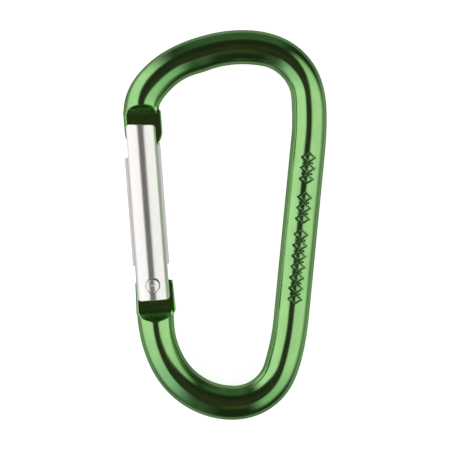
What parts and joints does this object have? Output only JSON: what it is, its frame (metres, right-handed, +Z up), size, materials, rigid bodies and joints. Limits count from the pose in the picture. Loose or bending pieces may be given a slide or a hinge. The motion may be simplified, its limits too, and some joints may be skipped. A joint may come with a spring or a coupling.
{
  "type": "snap carabiner",
  "caption": "D-shaped aluminium carabiner bent from round rod, with a slotted gate that swings inwards on a rivet and is closed by a hidden spring and plunger.",
  "frame": {"origin": "middle of the carabiner's plan, on the surface it lies on (the lowest line of the gate)", "axes": "+Y along its length towards the wide end, +X from the gate to the spine, +Z up; the rod's middle plane is at z = 3.75 mm"},
  "size_m": [0.0416, 0.08, 0.0075],
  "materials": {
    "body": "polished, dyed green by anodising",
    "gate": "polished, fine lengthwise drawing lines",
    "rivet": "dressed flush with the gate",
    "spring": "spring wire",
    "plunger": "turned"
  },
  "bodies": {
    "body": {"body": "body"},
    "gate": {"gate": "gate", "hinge_rivet": "rivet", "closing_spring": "spring"},
    "plunger": {"plunger": "plunger"}
  },
  "joints": [
    {"name": "gate_hinge", "type": "hinge", "parent": "body", "child": "gate", "pos_m": [-0.01477, -0.01243, 0.00375], "axis": [0, 0, -1], "range_deg": [0, 40], "stiffness_Nm_per_rad": 0.003, "springref_deg": -171.89},
    {"name": "plunger_slide", "type": "slide", "parent": "gate", "child": "plunger", "axis": [-0.0767, 0.9971, 0], "range_m": [0, 0.0007], "deforming": ["closing_spring"]}
  ],
  "couplings": [
    {"joint": "plunger_slide", "follows": "gate_hinge", "m_per_rad": 0.001}
  ]
}
